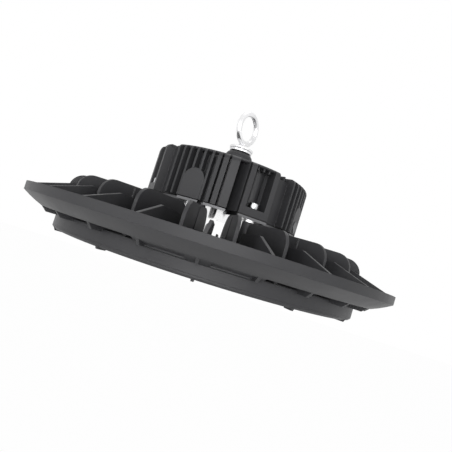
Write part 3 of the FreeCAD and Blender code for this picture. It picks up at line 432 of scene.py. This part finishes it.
def makeSocketBolts():
    own = socketBolt
    head, tall, steps = own["headRadius"], own["headHeight"], 2 * own["ridges"]
    bm = bmesh.new()
    lathe(bm, [(0, -own["shankLength"]), (own["shankRadius"] - 0.6, -own["shankLength"]),
               (own["shankRadius"], 0.6 - own["shankLength"]), (own["shankRadius"], 0),
               (head - 0.25, 0), (head, 0.3), (head, tall - 1.0), (head - 0.12, tall - 0.9),
               (head - 0.12, tall - 0.45), (head - 0.55, tall)], steps)
    for vert in bm.verts:
        place = round(math.atan2(vert.co.y, vert.co.x) / math.tau * steps)
        if place % 2 and vert.co.xy.length > (head - 0.05) * mm:
            vert.co.x *= own["ridgeDepth"]
            vert.co.y *= own["ridgeDepth"]
    driveRecess(bm, head - 0.55, steps, tall, own["socket"], 6, own["socketDepth"], 0.97)
    whole = repeated(bm, ringPlaces(own["circle"], own["seat"], 4, own["start"]))
    pieceFrom(whole, "socketBolts", "bright_steel", ["housing_bolts"])


crossScrews = {
    # name: node, slot, circle, height of the head's face, count, start, profile, rim, cross, depth
    "bezelCrossScrews": ("bezel_screws", "dark_screws", 141.6, 1.5, 12, 15.0,
                         [(0, -6.4), (1.6, -6.4), (2.0, -6.0), (2.0, -1.8), (3.65, -0.2),
                          (3.65, -0.1), (3.5, 0)], 3.5, 1.9, 1.3),
    "plateCrossScrews": ("plate_screws", "dark_screws", 55.0, 58.4, 4, 22.5,
                         [(0, -9.0), (1.6, -9.0), (2.0, -8.6), (2.0, -1.8), (3.65, -0.2),
                          (3.65, -0.1), (3.5, 0)], 3.5, 1.9, 1.3),
    "boardCrossScrews": ("board_screws", "bright_steel", 70.0, 7.5, 6, 15.0,
                         [(0, -4.7), (1.2, -4.7), (1.5, -4.4), (1.5, -1.3), (2.8, -1.3),
                          (2.8, -0.9), (2.55, -0.45), (2.1, -0.12), (1.7, 0)], 1.7, 1.3, 0.8),
}


def makeCrossScrews():
    for name, (node, slot, circle, face, count, start, profile, rim, cross,
               depth) in crossScrews.items():
        bm = bmesh.new()
        lathe(bm, profile, 24)
        driveRecess(bm, rim, 24, 0, cross, 12, depth, 0.45)
        whole = repeated(bm, ringPlaces(circle, face, count, start, flipped=True))
        pieceFrom(whole, name, slot, [node])


liftingEye = {
    "turn": 56.0, "shank": 5.0, "shankFoot": 110.8, "seat": 129.8, "collar": 12.5,
    "collarTop": 133.0, "neckFoot": 10.9, "waist": 2.9, "neckTop": 138.7, "centre": 153.6,
    "circle": 15.35, "section": 2.85, "hub": 127.7, "washer": 11.6, "washerBore": 0.2,
    "neckSteps": 8, "neckCurve": 2.4, "collarSteps": 72, "sectionSteps": 28, "ringSteps": 112,
    "washerSteps": 64,
}


def makeLiftingEye():
    own = liftingEye
    rise, steps = own["neckTop"] - own["collarTop"], own["neckSteps"]
    neck = [(own["waist"] + (own["neckFoot"] - own["waist"]) * (1 - step / steps)
             ** own["neckCurve"], own["collarTop"] + rise * step / steps)
            for step in range(steps + 1)]
    bm = bmesh.new()
    lathe(bm, [(0, own["shankFoot"]), (own["shank"] - 0.6, own["shankFoot"]),
               (own["shank"], own["shankFoot"] + 0.6), (own["shank"], own["seat"]),
               (own["collar"] - 1.3, own["seat"]), (own["collar"] - 0.5, own["seat"] + 0.35),
               (own["collar"] - 0.1, own["seat"] + 1.2), (own["collar"], own["collarTop"] - 1.0),
               (own["collar"] - 0.25, own["collarTop"] - 0.3),
               (own["collar"] - 0.9, own["collarTop"])] + neck + [(0, own["neckTop"])],
          own["collarSteps"])
    section = bmesh.ops.create_circle(
        bm, segments=own["sectionSteps"], radius=own["section"] * mm,
        matrix=Matrix.Translation((own["circle"] * mm, 0, 0)))["verts"]
    geom = section + edgesOf(section)
    spun = set(bm.verts)
    bmesh.ops.spin(bm, geom=geom, cent=(0, 0, 0), axis=(0, 1, 0), angle=math.tau,
                   steps=own["ringSteps"], use_merge=True)
    loop = section + [vert for vert in bm.verts if vert not in spun]
    bmesh.ops.translate(bm, verts=loop, vec=(0, 0, own["centre"] * mm))
    bmesh.ops.rotate(bm, verts=loop, cent=(0, 0, 0),
                     matrix=Matrix.Rotation(math.radians(own["turn"]), 3, "Z"))
    pieceFrom(bm, "liftingEye", "chrome_plate", ["eye_bolt"])
    bm = bmesh.new()
    bore = own["shank"] + own["washerBore"]
    lathe(bm, [(bore, own["hub"]), (own["washer"] - 0.3, own["hub"]),
               (own["washer"], own["hub"] + 0.3), (own["washer"], own["seat"] - 0.3),
               (own["washer"] - 0.3, own["seat"]), (bore, own["seat"]), (bore, own["hub"])],
          own["washerSteps"])
    pieceFrom(bm, "eyeWashers", "chrome_plate", ["eye_washer", "eye_seal"])


lampPackage = {
    "rings": 3, "pitch": 28.0, "size": 5.0, "top": 8.8, "height": 0.7, "window": 0.55,
    "cornerRound": 0.35, "lipWidth": 0.12, "lipDepth": 0.22, "faceRoom": 0.16, "faceSteps": 24,
    "faceDepth": 0.26, "faceThickness": 0.08,
}


def makeLampPackages():
    # White moulded frames round a yellow face that lies a little deeper
    own = lampPackage
    places = [place for ring in range(1, own["rings"] + 1)
              for place in ringPlaces(ring * own["pitch"], own["top"], 6 * ring)]
    frameUnit = bmesh.new()
    bmesh.ops.create_cube(frameUnit, size=1.0, matrix=Matrix.Translation(
        (0, 0, -own["height"] / 2 * mm)) @ Matrix.Diagonal(
        (own["size"] * mm, own["size"] * mm, own["height"] * mm, 1)))
    corners = [edge for edge in frameUnit.edges
               if abs(edge.verts[0].co.z - edge.verts[1].co.z) > own["height"] / 2 * mm]
    bmesh.ops.bevel(frameUnit, geom=corners, offset=own["cornerRound"] * mm,
                    offset_type="OFFSET", segments=2, profile=0.5, affect="EDGES", material=-1)
    face = min(frameUnit.faces, key=lambda each: each.calc_center_median().z)
    bmesh.ops.inset_region(frameUnit, faces=[face], thickness=own["window"] * mm, depth=0)
    bmesh.ops.inset_region(frameUnit, faces=[face], thickness=own["lipWidth"] * mm,
                           depth=-own["lipDepth"] * mm)
    glowUnit = bmesh.new()
    sunk = Matrix.Translation((0, 0, (own["faceDepth"] - own["height"]) * mm))
    bmesh.ops.create_circle(glowUnit, cap_ends=True, segments=own["faceSteps"], matrix=sunk,
                            radius=(own["size"] / 2 - own["window"] - own["faceRoom"]) * mm)
    bmesh.ops.solidify(glowUnit, geom=glowUnit.faces[:], thickness=own["faceThickness"] * mm)
    pieceFrom(repeated(frameUnit, places), "lampFrames", "white_board", ["lamps"])
    pieceFrom(repeated(glowUnit, places), "lampFaces", "lamp_phosphor")


castRib = {
    "circle": 110.0, "radius": 2.0, "foot": 14.0, "top": 54.2, "beside": 7.5, "steps": 20,
}


def makeCastRibs():
    # Round ribs that stiffen the two fins on each side of every bridge's middle
    own = castRib
    radius, tall = own["radius"], own["top"] - own["foot"]
    bm = bmesh.new()
    lathe(bm, [(0, 0), (radius * 1.25, 0), (radius, 3.0), (radius * 0.92, tall - 1.2),
               (radius * 0.6, tall - 0.3), (0, tall)], own["steps"])
    places = [place for side in (-1, 1) for place in ringPlaces(
        own["circle"], own["foot"], 4, side * own["beside"])]
    pieceFrom(repeated(bm, places), "castRibs", "painted_casting")


slantedWall = {
    "foot": 61.4, "top": 107.0, "outer": ((3.5, 60.0), (10.9, 76.2)), "thickness": 6.0,
    "edgeRound": 0.6,
}


def makeSlantedWalls():
    # Cast walls that run from each lobe's last bar out to the next tower
    own = slantedWall
    bm = bmesh.new()
    corners = [bm.verts.new(((radius - inset) * mm * math.cos(math.radians(angle)),
                             (radius - inset) * mm * math.sin(math.radians(angle)),
                             own["foot"] * mm))
               for inset, order in ((0.0, own["outer"]), (own["thickness"], own["outer"][::-1]))
               for angle, radius in order]
    bottom = bm.faces.new(corners)
    grown = bmesh.ops.extrude_face_region(bm, geom=[bottom])["geom"]
    bmesh.ops.translate(bm, verts=[item for item in grown if isinstance(item, bmesh.types.BMVert)],
                        vec=(0, 0, (own["top"] - own["foot"]) * mm))
    bmesh.ops.bevel(bm, geom=bm.edges[:], offset=own["edgeRound"] * mm, offset_type="OFFSET",
                    segments=2, profile=0.5, affect="EDGES", material=-1)
    pieceFrom(repeated(bm, ringPlaces(0, 0, 4)), "slantedWalls", "painted_casting")


topRim = {
    "start": -41.9, "sweep": 76.0, "steps": 38,
    "profile": ((68.0, 104.6), (73.2, 104.6), (74.5, 105.5), (74.5, 106.4), (73.8, 107.15),
                (68.5, 107.15), (68.0, 106.7)),
    "teeth": (17.4, 21.7, 26.1, 30.7), "toothSize": (7.5, 1.5, 3.0), "toothPlace": (69.6, 103.4),
    "toothRound": 0.3,
}


def makeTopRims():
    # Flat rims that join the fins' upper ends and close each tower's slot, with short ribs below
    own = topRim
    bm = bmesh.new()
    face = bm.faces.new([bm.verts.new((radius * mm, 0, height * mm))
                         for radius, height in own["profile"]])
    bmesh.ops.rotate(bm, verts=bm.verts, cent=(0, 0, 0),
                     matrix=Matrix.Rotation(math.radians(own["start"]), 3, "Z"))
    bmesh.ops.spin(bm, geom=list(face.verts) + list(face.edges) + [face], cent=(0, 0, 0),
                   axis=(0, 0, 1), angle=math.radians(own["sweep"]), steps=own["steps"])
    reach, height = own["toothPlace"]
    for angle in own["teeth"]:
        tooth = bmesh.ops.create_cube(bm, size=1.0, matrix=(
            Matrix.Rotation(math.radians(angle), 4, "Z")
            @ Matrix.Translation((reach * mm, 0, height * mm))
            @ Matrix.Diagonal([side * mm for side in own["toothSize"]] + [1])))["verts"]
        bmesh.ops.bevel(bm, geom=edgesOf(tooth), offset=own["toothRound"] * mm,
                        offset_type="OFFSET", segments=2, profile=0.5, affect="EDGES",
                        material=-1)
    bmesh.ops.holes_fill(bm, edges=bm.edges[:], sides=len(own["profile"]))
    pieceFrom(repeated(bm, ringPlaces(0, 0, 4)), "topRims", "painted_casting")


makeSocketBolts()
makeCrossScrews()
makeLiftingEye()
makeLampPackages()
makeCastRibs()
makeSlantedWalls()
makeTopRims()
print("bolts, screws, lifting eye, lamps, ribs, walls and rims made")


# Floor, light and camera

studio = {
    "floorHeight": -0.62, "floorSize": 14.0, "floorColour": (0.86, 0.86, 0.86, 1),
    "floorGlow": 0.985, "worldToSurfaces": 0.22,
    "keyPower": 4.8, "keySize": 0.7, "keyPlace": (0.04, -1.0, 0.05),
    "leftPower": 1.9, "leftPlace": (-0.75, -0.75, 0.25),
    "rightPower": 1.1, "rightPlace": (0.75, -0.75, 0.25), "sideSize": 0.6,
    "topPower": 4.0, "topPlace": (0.1, 0.3, 1.7), "topSize": 1.2,
}
aim = Vector((0, 0, 0.07))


def seenDirectly(tree):
    # One for rays from the camera and for what metal and glass show, otherwise none
    path = addNode(tree, "LightPath").outputs
    both = times(tree, path["Is Camera Ray"], path["Is Glossy Ray"], "ADD")
    added = addNode(tree, "Math", {0: both, 1: path["Is Transmission Ray"]}, operation="ADD",
                    use_clamp=True)
    return added.outputs[0]


def makeWorld():
    world = bpy.data.worlds.new("studioWorld")
    bpy.context.scene.world = world
    world.use_nodes = True
    tree = world.node_tree
    strength = spread(tree, seenDirectly(tree), studio["worldToSurfaces"], 1.0)
    tree.links.new(strength, tree.nodes["Background"].inputs["Strength"])
    tree.nodes["Background"].inputs["Color"].default_value = (1, 1, 1, 1)


def makeFloor():
    bm = bmesh.new()
    bmesh.ops.create_grid(bm, x_segments=1, y_segments=1, size=studio["floorSize"] / 2)
    bmesh.ops.translate(bm, verts=bm.verts, vec=(0, 0, studio["floorHeight"]))
    mesh = bpy.data.meshes.new("studioFloor")
    bm.to_mesh(mesh)
    bm.free()
    floor = bpy.data.objects.new("studioFloor", mesh)
    bpy.context.collection.objects.link(floor)
    material = bpy.data.materials.new("paleFloor")
    material.use_nodes = True
    tree = material.node_tree
    tree.nodes.remove(tree.nodes["Principled BSDF"])
    matt = addNode(tree, "BsdfDiffuse", {"Color": studio["floorColour"]}).outputs[0]
    glow = addNode(tree, "Emission", {"Color": (1, 1, 1, 1), "Strength": 1.0}).outputs[0]
    share = times(tree, seenDirectly(tree), studio["floorGlow"])
    both = addNode(tree, "MixShader", {0: share, 1: matt, 2: glow}).outputs[0]
    tree.links.new(both, tree.nodes["Material Output"].inputs["Surface"])
    mesh.materials.append(material)


def addLamp(name, place, power, size):
    lamp = bpy.data.lights.new(name, "AREA")
    lamp.shape, lamp.size, lamp.energy = "DISK", size, power
    holder = bpy.data.objects.new(name, lamp)
    holder.location = place
    holder.rotation_euler = (aim - Vector(place)).to_track_quat("-Z", "Y").to_euler()
    bpy.context.collection.objects.link(holder)


makeWorld()
makeFloor()
addLamp("keyLamp", studio["keyPlace"], studio["keyPower"], studio["keySize"])
addLamp("leftLamp", studio["leftPlace"], studio["leftPower"], studio["sideSize"])
addLamp("rightLamp", studio["rightPlace"], studio["rightPower"], studio["sideSize"])
addLamp("topLamp", studio["topPlace"], studio["topPower"], studio["topSize"])
print("floor and lamps placed")

cameraFit = {
    "distance": 0.4435, "azimuth": 1.91, "height": 0.0253,
    "yaw": 1.13, "pitch": 3.39, "roll": 17.6, "focalPixels": 435.7, "imageSize": 452,
    "sensor": 36.0,
}


def makeCamera():
    fit = cameraFit
    azimuth = math.radians(fit["azimuth"])
    lens = bpy.data.cameras.new("photoCamera")
    lens.sensor_width = fit["sensor"]
    lens.lens = fit["focalPixels"] / fit["imageSize"] * fit["sensor"]
    lens.clip_start, lens.clip_end = 0.01, 50.0
    camera = bpy.data.objects.new("photoCamera", lens)
    bpy.context.collection.objects.link(camera)
    camera.location = (fit["distance"] * math.sin(azimuth), -fit["distance"] * math.cos(azimuth),
                       fit["height"])
    turned = (Matrix.Rotation(azimuth - math.radians(fit["yaw"]), 4, "Z")
              @ Matrix.Rotation(math.radians(90 + fit["pitch"]), 4, "X")
              @ Matrix.Rotation(math.radians(fit["roll"]), 4, "Z"))
    camera.rotation_euler = turned.to_euler()
    bpy.context.scene.camera = camera


makeCamera()
bpy.context.scene.view_settings.view_transform = "Standard"
